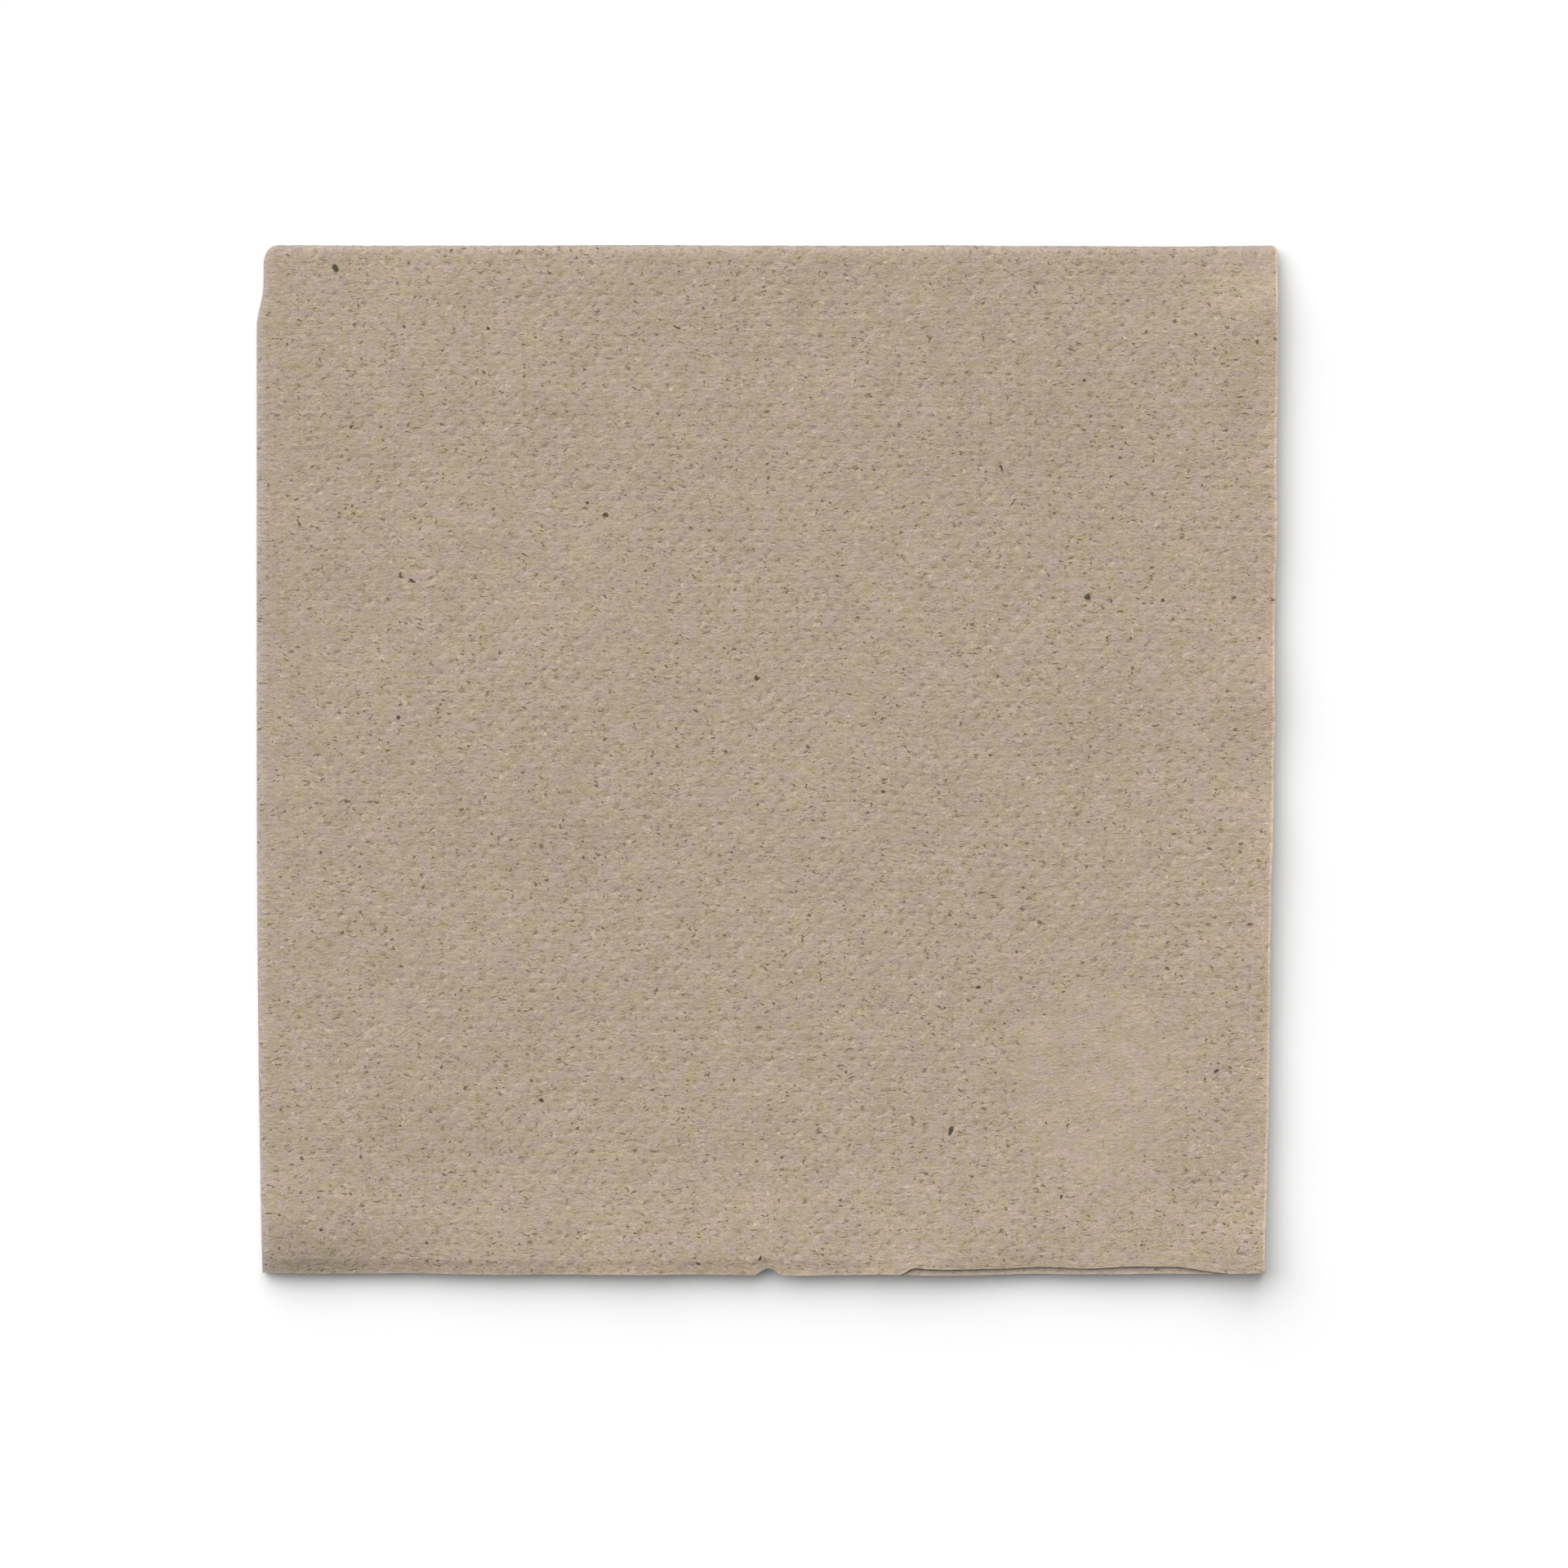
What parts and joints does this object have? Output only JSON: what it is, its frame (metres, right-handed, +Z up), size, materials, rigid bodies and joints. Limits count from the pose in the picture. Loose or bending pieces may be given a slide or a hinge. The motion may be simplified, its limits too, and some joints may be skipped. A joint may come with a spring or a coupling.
{
  "type": "paper napkin",
  "caption": "Square drinks napkin of brown embossed tissue, folded in quarters, lying flat with its cut edges open and a small knife notch.",
  "frame": {"origin": "middle of the underside, on the surface that the napkin lies on", "axes": "+Z up through the leaves; +X from the first fold to the cut edges opposite it; +Y from the other cut edges to the second fold"},
  "size_m": [0.12, 0.121, 0.002],
  "materials": {
    "tissue": "unbleached brown recycled tissue, creped and dot-embossed, with dark and pale fibre flecks, quite matt"
  },
  "bodies": {
    "root": {"napkin": "tissue"}
  },
  "joints": []
}
